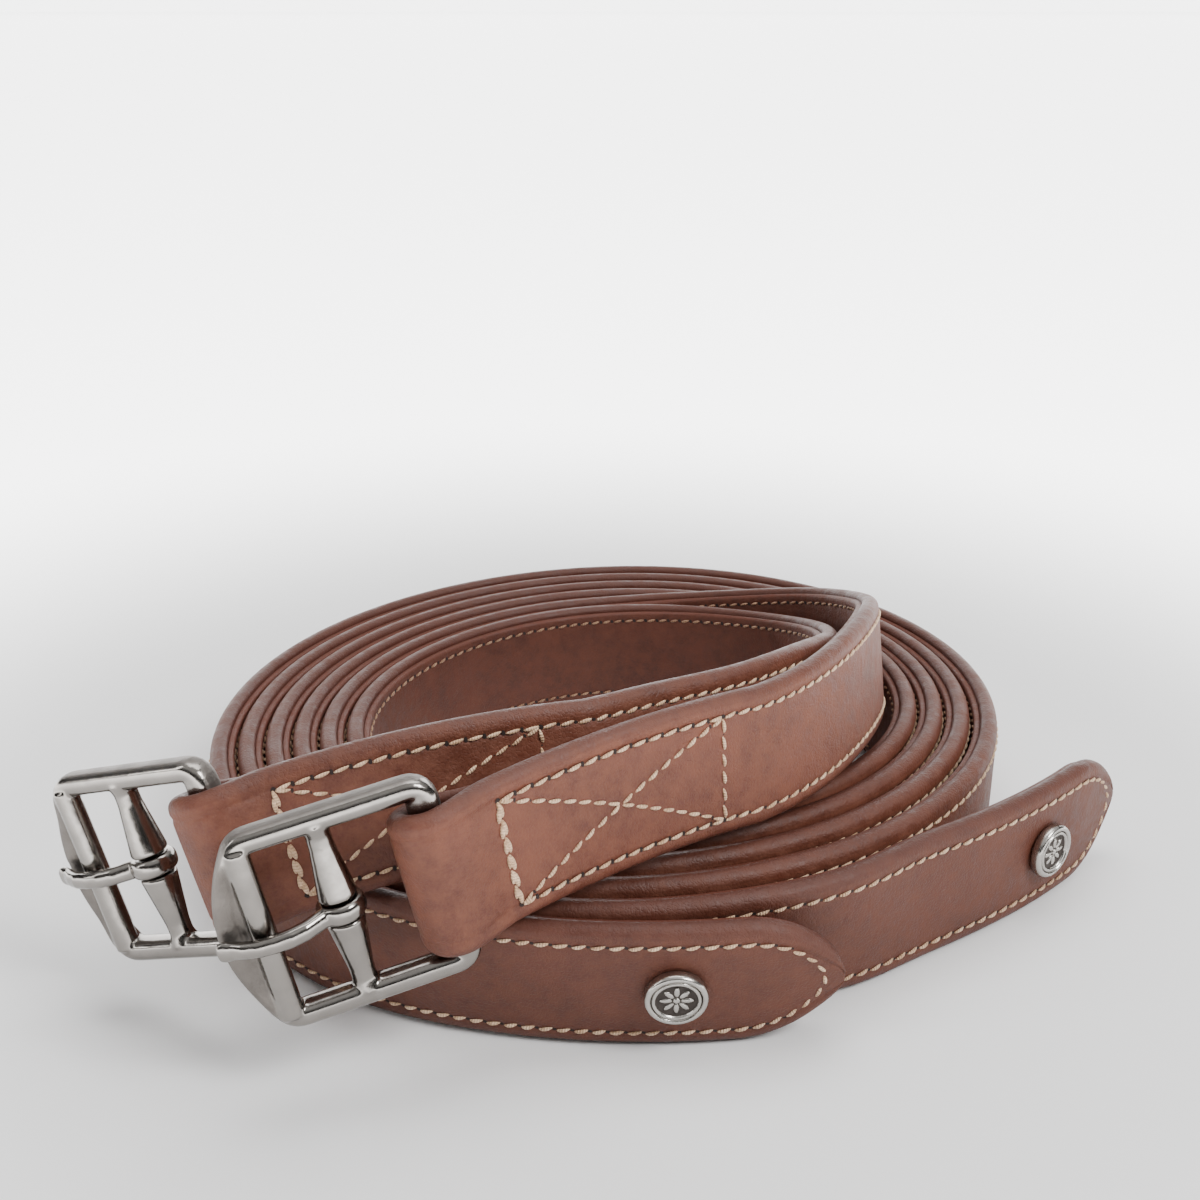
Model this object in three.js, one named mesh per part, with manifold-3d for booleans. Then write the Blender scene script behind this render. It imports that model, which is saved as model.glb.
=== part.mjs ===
// A pair of stirrup leathers, wound together into one coil with both buckle ends laid over it.
// Millimetres, +Z up. The coil stands on edge on z = 0; the origin is under the middle of the
// whole pair's box. Leather "a" has the front buckle, leather "b" the left one.
//
// Each leather is a wrapped strap: a face leather turned over at both edges (a channel in
// section), a flat web core in the channel, a lining that closes the back, a fold round the
// buckle's rear bar held by box stitching, and a stud at the tip. The face leather is two
// nodes: the windings of the coil, and the stretch that rises from it to the buckle.

import * as THREE from 'three';
import * as BufferGeometryUtils from 'three/addons/utils/BufferGeometryUtils.js';
import Module from 'manifold-3d';

const wasm = await Module();
wasm.setup();

// ---------------------------------------------------------------- driving dimensions
const COIL_CENTRE = [-3.03, 10.12];       // centre of the coil in the part's frame

const STRAP_WIDTH = 25;
const STRAP_THICKNESS = 4.8;
const FACE_DEPTH = 3.4;                   // face leather with its turned edges
const SKIN = 1.75;                        // face leather alone
const EDGE_WALL = 2.4;                    // turned edge, measured across the strap
const EDGE_CHAMFER = 0.9;
const GAP = 0.25;                         // between pieces that touch
const CORE_THICKNESS = 1.15;
const LINING_DEPTH = FACE_DEPTH + GAP;    // where the lining starts, from the outer face
const TIP_LENGTH = 17;                    // pointed end of each strap

const STITCH_WIDTH = 0.9;
const STITCH_HEIGHT = 0.25;
const STITCH_LIFT = 0.15;
const BOX_LENGTH = 42;                    // box stitching over the fold
const BOX_START = 10;                     // from the rear bar's axis
const BOX_WIDTH = 18.5;

const FLAT_LENGTH = 60;                   // flat stretch that ends at the rear bar
const RETURN_END = 57.5;                  // end of the turned-back leg, from the bar's axis
const BAR_RADIUS = 2.25;
const BAR_CLEARANCE = 0.35;
const FOLD_BULGE = 1.6;                   // how far the front leg swells out over the bar
const RETURN_TRIM = 1.3;                  // the turned-back leg is this much narrower at each edge

const HOLE_FIRST = 190;                   // punched holes, from the tip
const HOLE_PITCH = 25;
const HOLE_COUNT = 10;
const HOLE_RADIUS = 2.1;

const STUD_FROM_TIP = 28;
const STUD_RADIUS = 5.25;
const STUD_HEIGHT = 2.4;
const POST_RADIUS = 1.5;
const BURR_RADIUS = 4;

// The coil: outer face of leather a, r = BASE - TURN * turns + gentle harmonics of the polar
// angle, since it was pressed a little oval. Leather b lies half a turn further in all the way.
const SPIRAL_BASE = 86.4;
const SPIRAL_TURN = 10.7;
const SPIRAL_START = 303;                 // polar angle at zero turns, degrees
const SPIRAL_STEP = 15;
const SPIRAL_END = 213 + 720;
const SPRING_ANGLE = 294;                 // where the windings have sprung furthest apart
const SPRING_WIDTH = 3.6;                 // extra pitch there, easing off inwards over ...
const SPRING_TURNS = 1.5;
const FRONT_LEAN = -8.5;                  // the front of the coil leans out, between ...
const LEAN_FADES = [215, 265, 288, 312];  // these polar angles: none, full, full, none

// ---------------------------------------------------------------- routes of the leathers
// Free stretches are lists of points on the strap's middle line, [x, y, z, lean], about the
// coil's centre. Lean tips the top edge inwards, in degrees. The flat stretch before the bar
// lies in one plane and sags through the angle "bend" in it; heading and slope are at the bar.
const MID = STRAP_WIDTH / 2;
const LEATHERS = {
  a: {
    behind: 0,
    tip: [[37.2, -77.7, 12.72, -8.5], [25.4, -80, 12.72, -8.5], [12.7, -81.4, 12.72, -8.5]],
    spiralFrom: 45,
    rise: [
      [29, 49, 16.3, -7], [47.1, 34.9, 22.4, -4], [54.5, 15.2, 29, 3],
      [52, -7.4, 35.6, 8], [43.3, -29.5, 38.5, 8],
    ],
    flat: { bar: [-25.9, -87.7, 36.4], heading: -145.2, slope: -10.3, lean: 7, bend: 14.5 },
    frameTurn: -19,
  },
  b: {
    behind: 0.5,
    tip: [
      [99, -18, MID, 0], [91, -27.6, MID, 0], [82, -36.4, MID, 0],
      [72.3, -44.2, MID, 0], [62.2, -51.2, MID, 0], [52, -57.8, MID, 0],
    ],
    spiralFrom: 0,
    rise: [
      [23, 44.3, 13.9, -7], [38, 30.6, 17.5, -7], [44.7, 11.5, 23.5, -2],
      [43.6, -9.4, 30.2, 6], [35, -28.4, 36.1, 9], [21.4, -44.4, 38.9, 10],
      [5.3, -55.6, 40.2, 11.5],
    ],
    flat: { bar: [-61.5, -79.4, 34.2], heading: -161.5, slope: -13.6, lean: 11.5, bend: 15 },
    frameTurn: -39.5,
  },
};

// ---------------------------------------------------------------- small helpers
const rad = THREE.MathUtils.degToRad;
const vec = (x, y, z) => new THREE.Vector3(x, y, z);

function frontLean(polar) {
  const [from, full, fading, to] = LEAN_FADES;
  const rising = THREE.MathUtils.smoothstep(polar, from, full);
  const falling = THREE.MathUtils.smoothstep(polar, fading, to);
  return FRONT_LEAN * rising * (1 - falling);
}

function spiralPoint(turnDegrees, behind) {
  const angle = rad(SPIRAL_START - turnDegrees);
  const turns = turnDegrees / 360 + behind;
  const nearSpring = Math.max(0, Math.cos(angle - rad(SPRING_ANGLE))) ** 3;
  const sprung = SPRING_TURNS * Math.tanh(Math.max(0, turns - 0.5) / SPRING_TURNS);
  const outer = SPIRAL_BASE - SPIRAL_TURN * turns - SPRING_WIDTH * nearSpring * sprung
    + 2.6 * Math.cos(angle) - 0.4 * Math.sin(angle)
    + 0.5 * Math.cos(2 * angle) + 2.65 * Math.sin(2 * angle);
  const lean = frontLean(THREE.MathUtils.euclideanModulo(SPIRAL_START - turnDegrees, 360));
  const tilt = rad(Math.abs(lean));
  const r = outer - STRAP_THICKNESS / 2 - MID * Math.sin(tilt);
  const z = MID * Math.cos(tilt) + STRAP_THICKNESS / 2 * Math.sin(tilt);
  return [r * Math.cos(angle), r * Math.sin(angle), z, lean];
}

// Natural cubic spline through points of any dimension, over their chord length.
function spline(points) {
  const n = points.length;
  const knots = [0];
  for (let i = 1; i < n; i++) {
    const step = Math.hypot(...[0, 1, 2].map((k) => points[i][k] - points[i - 1][k]));
    knots.push(knots[i - 1] + step);
  }
  const curves = points[0].map((_, k) => {
    const second = new Array(n).fill(0);
    const upper = new Array(n).fill(0);
    for (let i = 1; i < n - 1; i++) {
      const left = knots[i] - knots[i - 1];
      const right = knots[i + 1] - knots[i];
      const slopes = (points[i + 1][k] - points[i][k]) / right - (points[i][k] - points[i - 1][k]) / left;
      const pivot = 2 * (left + right) - left * upper[i - 1];
      upper[i] = right / pivot;
      second[i] = (6 * slopes - left * second[i - 1]) / pivot;
    }
    for (let i = n - 2; i > 0; i--) second[i] -= upper[i] * second[i + 1];
    return second;
  });
  const at = (u) => {
    let i = 0;
    while (i < n - 2 && u > knots[i + 1]) i++;
    const h = knots[i + 1] - knots[i];
    const b = (u - knots[i]) / h;
    const a = 1 - b;
    return points[0].map((_, k) => a * points[i][k] + b * points[i + 1][k]
      + ((a ** 3 - a) * curves[k][i] + (b ** 3 - b) * curves[k][i + 1]) * h * h / 6);
  };
  return { at, knots };
}

// A station is a place on the strap: mid point c, travel t, width w, inward normal m.
function stationAt(centre, travel, lean) {
  const t = travel.clone().normalize();
  const up = vec(0, 0, 1).addScaledVector(t, -t.z).normalize();
  const side = t.clone().cross(up);
  const w = up.multiplyScalar(Math.cos(rad(lean))).addScaledVector(side, Math.sin(rad(lean)));
  return { c: centre.clone(), t, w, m: t.clone().cross(w) };
}

function splineStation(curve, u) {
  const step = 0.2;
  const [x, y, z, lean] = curve.at(u);
  const before = curve.at(u - step);
  const after = curve.at(u + step);
  const travel = vec(after[0] - before[0], after[1] - before[1], after[2] - before[2]);
  return { ...stationAt(vec(x, y, z), travel, lean), fromTip: u };
}

function halfWidth(fromTip) {
  const q = Math.min(1, fromTip / TIP_LENGTH);
  return MID * (1 - (1 - q) ** 1.9) ** 0.62;
}

// ---------------------------------------------------------------- one leather's stations
// The flat stretch's own station at u, along the strap from the bar's axis.
function flatStation({ c, t, w, m, bend }, u) {
  const angle = Math.min(0, u) * bend;
  const at = c.clone().addScaledVector(t, Math.sin(angle) / bend + Math.max(0, u));
  return {
    c: at.addScaledVector(w, (Math.cos(angle) - 1) / bend),
    t: t.clone().multiplyScalar(Math.cos(angle)).addScaledVector(w, -Math.sin(angle)),
    w: w.clone().multiplyScalar(Math.cos(angle)).addScaledVector(t, Math.sin(angle)),
    m: m.clone(),
  };
}

function route({ behind, tip, spiralFrom, rise, flat }) {
  const travel = vec(1, 0, 0).applyEuler(new THREE.Euler(0, -rad(flat.slope), rad(flat.heading), 'ZYX'));
  const bar = { ...stationAt(vec(...flat.bar), travel, flat.lean), bend: rad(flat.bend) / FLAT_LENGTH };
  const points = [...tip];
  for (let turn = spiralFrom; turn <= SPIRAL_END; turn += SPIRAL_STEP) {
    points.push(spiralPoint(turn, behind));
  }
  const spiralLast = points.length - 1;
  points.push(...rise);
  const flatFirst = points.length;
  for (const part of [1, 2 / 3, 1 / 3, 0]) {
    points.push([...flatStation(bar, -FLAT_LENGTH * part).c.toArray(), flat.lean]);
  }
  const curve = spline(points);
  const body = [0.7, 2.5, 5, 9, 13, TIP_LENGTH].map((u) => splineStation(curve, u));
  for (let i = 2; i < flatFirst; i++) {
    const parts = i < spiralLast ? 1 : 3;
    const span = curve.knots[i + 1] - curve.knots[i];
    for (let k = 0; k < parts; k++) {
      body.push(splineStation(curve, curve.knots[i] + span * k / parts));
    }
  }
  body.push({ ...flatStation(bar, -FLAT_LENGTH), fromTip: curve.knots[flatFirst] });
  return { curve, bar, body, liftOff: body.findIndex((s) => s.fromTip >= curve.knots[spiralLast]) };
}

// The fold, in the flat stretch's own plane: u along the strap from the bar's axis, n inwards
// from the outer face. It runs to the bar, half round it and back behind the front leg, which
// is trimmed a little narrower at both edges.
function foldPath() {
  const swell = (u) => THREE.MathUtils.smoothstep(u, -10, -1);
  const radius = BAR_RADIUS + BAR_CLEARANCE + FACE_DEPTH;
  const behind = 2 * FACE_DEPTH + GAP;
  const path = [];
  for (const u of [-48, -36, -24, -12, -9, -6, -3]) {
    path.push([u, -FOLD_BULGE * swell(u), 0]);
  }
  for (let k = 0; k <= 8; k++) {
    const angle = Math.PI * k / 8;
    const trim = RETURN_TRIM * THREE.MathUtils.smoothstep(k, 2, 8);
    path.push([radius * Math.sin(angle), radius - FOLD_BULGE - radius * Math.cos(angle), trim]);
  }
  const far = 2 * radius - FOLD_BULGE;
  for (const u of [-3, -6, -9, -12, -24, -36, -48, -RETURN_END]) {
    path.push([u, behind + (far - behind) * swell(u), RETURN_TRIM]);
  }
  return path;
}

function foldStations(bar) {
  const path = foldPath();
  return path.map(([u, n, trim], i) => {
    const [u0, n0] = path[Math.max(0, i - 1)];
    const [u1, n1] = path[Math.min(path.length - 1, i + 1)];
    const own = flatStation(bar, u);
    const t = own.t.clone().multiplyScalar(u1 - u0).addScaledVector(own.m, n1 - n0).normalize();
    const m = t.clone().cross(own.w);
    const face = own.c.clone().addScaledVector(own.m, n - STRAP_THICKNESS / 2);
    return { c: face.addScaledVector(m, STRAP_THICKNESS / 2), t, w: own.w, m, fromTip: Infinity, trim };
  });
}

// ---------------------------------------------------------------- lofting
// section(station) gives the outline as [across, depth] pairs, depth inwards from the face.
function loft(stations, section) {
  const outlines = stations.map(section);
  const count = outlines[0].length;
  const positions = [];
  stations.forEach((s, i) => {
    for (const [across, depth] of outlines[i]) {
      const p = s.c.clone().addScaledVector(s.w, across).addScaledVector(s.m, depth - STRAP_THICKNESS / 2);
      positions.push(p.x, p.y, p.z);
    }
  });
  const index = [];
  for (let i = 0; i < stations.length - 1; i++) {
    for (let k = 0; k < count; k++) {
      const next = (k + 1) % count;
      const [a, b, c, d] = [i * count + k, i * count + next, (i + 1) * count + next, (i + 1) * count + k];
      // Diagonals all lean one way across the strap, so nested layers stay parallel.
      if (outlines[i][next][0] > outlines[i][k][0]) index.push(a, b, c, a, c, d);
      else index.push(a, b, d, b, c, d);
    }
  }
  const cap = (i, flip) => {
    const outline = outlines[i].map(([x, y]) => new THREE.Vector2(x, y));
    for (const [a, b, c] of THREE.ShapeUtils.triangulateShape(outline, [])) {
      index.push(i * count + a, i * count + (flip ? c : b), i * count + (flip ? b : c));
    }
  };
  cap(0, true);
  cap(stations.length - 1, false);
  return facingOut(positions, index);
}

function facingOut(positions, index) {
  const at = (i) => vec(...positions.slice(3 * i, 3 * i + 3));
  let volume = 0;
  for (let i = 0; i < index.length; i += 3) {
    volume += at(index[i]).dot(at(index[i + 1]).cross(at(index[i + 2])));
  }
  if (volume < 0) index.reverse();
  const geometry = new THREE.BufferGeometry();
  geometry.setAttribute('position', new THREE.Float32BufferAttribute(positions, 3));
  geometry.setIndex(index);
  return geometry;
}

function faceSection({ fromTip, trim = 0 }) {
  const h = halfWidth(fromTip) - trim;
  const c = Math.min(EDGE_CHAMFER, h / 3);
  const wall = Math.min(EDGE_WALL, h * 0.7);
  return [
    [-h, c], [-h + c, 0], [h - c, 0], [h, c], [h, FACE_DEPTH],
    [h - wall, FACE_DEPTH], [h - wall, SKIN], [-h + wall, SKIN], [-h + wall, FACE_DEPTH], [-h, FACE_DEPTH],
  ];
}

function flatSection(inset, top, bottom) {
  return ({ fromTip, trim = 0 }) => {
    const h = halfWidth(fromTip) - trim - inset;
    return [[-h, top], [h, top], [h, bottom], [-h, bottom]];
  };
}

// ---------------------------------------------------------------- booleans
function solidOf(geometry) {
  const bare = new THREE.BufferGeometry();
  bare.setAttribute('position', geometry.getAttribute('position').clone());
  if (geometry.index) bare.setIndex(geometry.index.clone());
  const merged = BufferGeometryUtils.mergeVertices(bare, 1e-4);
  return new wasm.Manifold(new wasm.Mesh({
    numProp: 3,
    vertProperties: new Float32Array(merged.getAttribute('position').array),
    triVerts: new Uint32Array(merged.index.array),
  }));
}

function geometryOf(solid) {
  const mesh = solid.getMesh();
  const geometry = new THREE.BufferGeometry();
  geometry.setAttribute('position', new THREE.Float32BufferAttribute(mesh.vertProperties, 3));
  geometry.setIndex(Array.from(mesh.triVerts));
  return geometry;
}

function cut(geometry, tools) {
  return geometryOf(tools.reduce((left, tool) => left.subtract(solidOf(tool)), solidOf(geometry)));
}

function join(geometries) {
  return geometryOf(geometries.map(solidOf).reduce((all, next) => all.add(next)));
}

// A station's own axes: x along the strap, y across it, z out of its face.
function stationMatrix({ c, t, w, m }) {
  return new THREE.Matrix4().makeBasis(t, w.clone().negate(), m.clone().negate()).setPosition(c);
}

function drill(station, radius, from = -10, to = 10) {
  const tool = new THREE.CylinderGeometry(radius, radius, to - from, 10);
  tool.rotateX(Math.PI / 2).translate(0, 0, (from + to) / 2);
  return tool.applyMatrix4(stationMatrix(station));
}

// ---------------------------------------------------------------- stud at the tip
const FACE_Z = STRAP_THICKNESS / 2;

function studCap() {
  const base = FACE_Z + GAP;
  const bore = POST_RADIUS + GAP;
  const profile = [
    [0, 1.4], [bore, 1.4], [bore, 0], [STUD_RADIUS - 0.5, 0], [STUD_RADIUS, 0.6], [STUD_RADIUS, 1.6],
    [STUD_RADIUS - 0.5, STUD_HEIGHT], [STUD_RADIUS - 1.2, STUD_HEIGHT - 0.1],
    [STUD_RADIUS - 1.5, STUD_HEIGHT - 0.5], [0, STUD_HEIGHT - 0.4],
  ].map(([r, z]) => new THREE.Vector2(r, z));
  return new THREE.LatheGeometry(profile, 20).rotateX(Math.PI / 2).translate(0, 0, base);
}

function studRivet() {
  const head = FACE_Z - STRAP_THICKNESS + 0.15;
  const profile = [
    [0, head], [BURR_RADIUS, head], [BURR_RADIUS, head + 0.8], [POST_RADIUS, head + 0.8],
    [POST_RADIUS, FACE_Z + 1.3], [0, FACE_Z + 1.3],
  ].map(([r, z]) => new THREE.Vector2(r, z));
  return new THREE.LatheGeometry(profile, 14).rotateX(Math.PI / 2);
}

// ---------------------------------------------------------------- buckle
// Own axes: x from the rear bar towards the front rim, y along the bars, z out of the face.
const FRAME_HALF_WIDTH = 17.5;
const RAIL_WIDTH = 3.8;
const FRAME_THICKNESS = 4.6;
const FRAME_REAR = -3;
const FRAME_SHOULDER = 30.5;              // where the side rails meet the front rim
const FRAME_FRONT = 34.5;                 // crown of the front rim
const FRAME_CORNER = 3.5;
const CENTRE_BAR_X = 15.8;
const NECK_RADIUS = 1.5;
const NECK_HALF_LENGTH = 1.9;
const CONE_RADIUS = 3.1;
const INSET_BAR_X = 27.8;
const INSET_BAR_RADIUS = 2;
const INSET_BAR_LIFT = 0.9;
const RIM_WIDTH = 3;
const TONGUE_WIDTH = 3.2;
const TONGUE_EYE = 3.9;

function alongY(geometry, x, z) {
  return geometry.translate(x, 0, z);
}

function frameOutline() {
  const side = FRAME_HALF_WIDTH;
  const inner = side - RAIL_WIDTH;
  const shape = new THREE.Shape();
  shape.moveTo(FRAME_REAR, inner);
  shape.lineTo(FRAME_REAR, side - FRAME_CORNER);
  shape.quadraticCurveTo(FRAME_REAR, side, FRAME_REAR + FRAME_CORNER, side);
  shape.lineTo(FRAME_SHOULDER - FRAME_CORNER, side);
  shape.quadraticCurveTo(FRAME_SHOULDER, side, FRAME_SHOULDER + 0.8, side - FRAME_CORNER);
  shape.quadraticCurveTo(FRAME_FRONT + 3.2, 0, FRAME_SHOULDER + 0.8, -side + FRAME_CORNER);
  shape.quadraticCurveTo(FRAME_SHOULDER, -side, FRAME_SHOULDER - FRAME_CORNER, -side);
  shape.lineTo(FRAME_REAR + FRAME_CORNER, -side);
  shape.quadraticCurveTo(FRAME_REAR, -side, FRAME_REAR, -side + FRAME_CORNER);
  shape.lineTo(FRAME_REAR, -inner);
  shape.lineTo(INSET_BAR_X, -inner);
  shape.lineTo(INSET_BAR_X, inner);
  shape.closePath();
  return shape;
}

function rimGroove() {
  const half = 10;
  const shape = new THREE.Shape();
  const start = INSET_BAR_X + INSET_BAR_RADIUS;
  shape.moveTo(start, half);
  shape.quadraticCurveTo(2 * (FRAME_FRONT - RIM_WIDTH) - start, 0, start, -half);
  shape.closePath();
  const groove = new THREE.ExtrudeGeometry(shape, { depth: 4, bevelEnabled: false, curveSegments: 8 });
  return groove.translate(0, 0, FRAME_THICKNESS / 2 - 1.5);
}

function buckleFrame() {
  const ring = new THREE.ExtrudeGeometry(frameOutline(),
    { depth: FRAME_THICKNESS, bevelEnabled: false, curveSegments: 8 });
  ring.translate(0, 0, -FRAME_THICKNESS / 2);
  const reach = FRAME_HALF_WIDTH - RAIL_WIDTH + 1;
  const rearBar = new THREE.CylinderGeometry(BAR_RADIUS, BAR_RADIUS, 2 * reach, 16);
  const insetBar = new THREE.CylinderGeometry(INSET_BAR_RADIUS, INSET_BAR_RADIUS, 2 * reach, 14);
  const cone = [
    [0, -reach], [1.9, -reach], [CONE_RADIUS, -NECK_HALF_LENGTH], [NECK_RADIUS, -NECK_HALF_LENGTH],
    [NECK_RADIUS, NECK_HALF_LENGTH], [CONE_RADIUS, NECK_HALF_LENGTH], [1.9, reach], [0, reach],
  ].map(([r, y]) => new THREE.Vector2(r, y));
  const centreBar = new THREE.LatheGeometry(cone, 16);
  const notch = new THREE.BoxGeometry(8, TONGUE_WIDTH + 1.2, 2);
  notch.translate(FRAME_FRONT - 0.2, 0, FRAME_THICKNESS / 2);
  const body = cut(join([
    ring,
    alongY(rearBar, 0, 0),
    alongY(centreBar, CENTRE_BAR_X, 0),
  ]), [rimGroove(), notch]);
  return join([body, alongY(insetBar, INSET_BAR_X, INSET_BAR_LIFT)]);
}

function buckleTongue() {
  const eyeTop = TONGUE_EYE * Math.cos(rad(20));
  const eyeSide = TONGUE_EYE * Math.sin(rad(20));
  const shape = new THREE.Shape();
  shape.moveTo(CENTRE_BAR_X + eyeSide, eyeTop);
  shape.absarc(CENTRE_BAR_X, 0, TONGUE_EYE, rad(70), rad(350), false);
  shape.quadraticCurveTo(CENTRE_BAR_X + 5, 2.2, CENTRE_BAR_X + 8.4, 3.2);
  shape.lineTo(INSET_BAR_X + 1, 3.3);
  shape.lineTo(FRAME_FRONT - 3.4, 2);
  shape.lineTo(FRAME_FRONT, 1.7);
  shape.quadraticCurveTo(FRAME_FRONT + 1, 3.4, FRAME_FRONT - 1, 4);
  shape.quadraticCurveTo(INSET_BAR_X + 1, 6.4, CENTRE_BAR_X + 7.4, 5.6);
  shape.quadraticCurveTo(CENTRE_BAR_X + 4, 4.6, CENTRE_BAR_X + eyeSide, eyeTop);
  const eye = new THREE.Path();
  eye.absarc(CENTRE_BAR_X, 0, NECK_RADIUS + GAP, 0, 2 * Math.PI, true);
  shape.holes.push(eye);
  const tongue = new THREE.ExtrudeGeometry(shape, { depth: TONGUE_WIDTH, bevelEnabled: false, curveSegments: 8 });
  return tongue.rotateX(Math.PI / 2).translate(0, TONGUE_WIDTH / 2, 0);
}

// ---------------------------------------------------------------- box stitching
// A flat thread outline: a rectangle with both diagonals, about its own middle.
function boxStitching() {
  const [x0, x1, y] = [-BOX_LENGTH / 2, BOX_LENGTH / 2, BOX_WIDTH / 2];
  const corners = [[x0, -y], [x1, -y], [x1, y], [x0, y]].map(([u, v]) => new THREE.Vector2(u, v));
  const centre = new THREE.Vector2((x0 + x1) / 2, 0);
  const grow = STITCH_WIDTH / 2;
  const shape = new THREE.Shape([
    new THREE.Vector2(x0 - grow, -y - grow), new THREE.Vector2(x1 + grow, -y - grow),
    new THREE.Vector2(x1 + grow, y + grow), new THREE.Vector2(x0 - grow, y + grow),
  ]);
  corners.forEach((corner, i) => {
    const next = corners[(i + 1) % 4];
    const sides = [corner.distanceTo(next), next.distanceTo(centre), centre.distanceTo(corner)];
    const around = sides[0] + sides[1] + sides[2];
    const middle = new THREE.Vector2()
      .addScaledVector(centre, sides[0]).addScaledVector(corner, sides[1]).addScaledVector(next, sides[2])
      .divideScalar(around);
    const area = Math.abs(next.clone().sub(corner).cross(centre.clone().sub(corner))) / 2;
    const shrink = 1 - grow / (2 * area / around);
    const hole = [corner, centre, next].map((p) => p.clone().sub(middle).multiplyScalar(shrink).add(middle));
    shape.holes.push(new THREE.Path(hole));
  });
  const thread = new THREE.ExtrudeGeometry(shape, { depth: STITCH_HEIGHT, bevelEnabled: false });
  return thread.translate(0, 0, STRAP_THICKNESS / 2 + STITCH_LIFT);
}

// ---------------------------------------------------------------- materials
const material = (color, roughness, metalness) => new THREE.MeshStandardMaterial({ color, roughness, metalness });
const MATERIALS = {
  face: () => material(0x7a4a3a, 0.55, 0),
  lining: () => material(0x8a5240, 0.65, 0),
  core: () => material(0x2c2a28, 0.8, 0),
  thread: () => material(0xe2d3ba, 0.8, 0),
  steel: () => material(0xb8b2aa, 0.22, 1),
  stud: () => material(0xb4b0aa, 0.3, 1),
};

// ---------------------------------------------------------------- assembly
const pair = new THREE.Group();
pair.position.set(COIL_CENTRE[0], COIL_CENTRE[1], 0);

function addNode(parent, name, geometry, look) {
  const mesh = new THREE.Mesh(geometry, MATERIALS[look]());
  mesh.name = name;
  parent.add(mesh);
}

function addLeather(id, plan) {
  const { curve, bar, body, liftOff } = route(plan);
  const fold = foldStations(bar);
  const stations = [...body, ...fold];
  const stud = splineStation(curve, STUD_FROM_TIP);
  const punches = Array.from({ length: HOLE_COUNT },
    (_, i) => drill(splineStation(curve, HOLE_FIRST + i * HOLE_PITCH), HOLE_RADIUS));
  const postHole = drill(stud, POST_RADIUS + GAP);
  const burrHole = drill(stud, BURR_RADIUS + GAP);

  const windings = [...body.slice(0, liftOff), splineStation(curve, body[liftOff].fromTip - GAP)];
  const face = loft(windings, faceSection);
  const rise = loft(stations.slice(liftOff), faceSection);
  const coreTop = SKIN + GAP;
  const coreStations = stations.slice(2);
  const core = loft(coreStations, flatSection(EDGE_WALL + GAP, coreTop, coreTop + CORE_THICKNESS));
  const lining = loft(body, flatSection(0.3, LINING_DEPTH, STRAP_THICKNESS));
  addNode(pair, `strap_face_${id}`, cut(face, [...punches, postHole]), 'face');
  addNode(pair, `strap_rise_${id}`, rise, 'face');
  addNode(pair, `strap_core_${id}`, cut(core, [...punches, burrHole]), 'core');
  addNode(pair, `strap_lining_${id}`, cut(lining, [...punches, burrHole]), 'lining');

  const flat = new THREE.Group();
  flat.applyMatrix4(stationMatrix(flatStation(bar, -BOX_START - BOX_LENGTH / 2)));
  addNode(flat, `fold_stitching_${id}`, boxStitching(), 'thread');
  pair.add(flat);

  const tip = new THREE.Group();
  tip.applyMatrix4(stationMatrix(stud));
  addNode(tip, `stud_cap_${id}`, studCap(), 'stud');
  addNode(tip, `stud_rivet_${id}`, studRivet(), 'stud');
  pair.add(tip);

  const barDepth = BAR_RADIUS + BAR_CLEARANCE + FACE_DEPTH - FOLD_BULGE - FACE_Z;
  const buckle = new THREE.Group();
  buckle.applyMatrix4(stationMatrix({ ...bar, c: bar.c.clone().addScaledVector(bar.m, barDepth) }));
  const turned = new THREE.Group();
  turned.rotation.y = -rad(plan.frameTurn);
  addNode(turned, `buckle_frame_${id}`, buckleFrame(), 'steel');
  addNode(turned, `buckle_tongue_${id}`, buckleTongue(), 'steel');
  buckle.add(turned);
  pair.add(buckle);
}

for (const [id, plan] of Object.entries(LEATHERS)) addLeather(id, plan);

const root = new THREE.Group();
root.add(pair);
export default root;
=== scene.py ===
"""A coiled pair of stirrup leathers: stitched straps, cast buckles and tip studs, in a pale studio.

The straps follow the same routes as the CAD straps, so every length here that also shapes the
frame is the frame's own value. Strap measures are in millimetres and turn into metres where a
mesh is made.
"""

import math
import random

import bmesh
import bpy
import numpy as np
from mathutils import Matrix, Vector


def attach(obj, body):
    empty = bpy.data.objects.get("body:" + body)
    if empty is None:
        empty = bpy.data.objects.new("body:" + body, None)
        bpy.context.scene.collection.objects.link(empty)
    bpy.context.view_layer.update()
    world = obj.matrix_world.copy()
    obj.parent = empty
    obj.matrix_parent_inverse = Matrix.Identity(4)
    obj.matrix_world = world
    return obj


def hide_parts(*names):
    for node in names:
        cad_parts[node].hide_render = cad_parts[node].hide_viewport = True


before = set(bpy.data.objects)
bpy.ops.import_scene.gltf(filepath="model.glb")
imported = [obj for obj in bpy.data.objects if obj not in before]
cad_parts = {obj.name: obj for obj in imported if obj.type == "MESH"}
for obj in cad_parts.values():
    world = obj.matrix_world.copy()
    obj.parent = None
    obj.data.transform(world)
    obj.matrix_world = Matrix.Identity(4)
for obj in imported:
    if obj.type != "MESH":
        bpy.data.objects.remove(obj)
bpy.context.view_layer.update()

MM = 0.001

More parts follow.
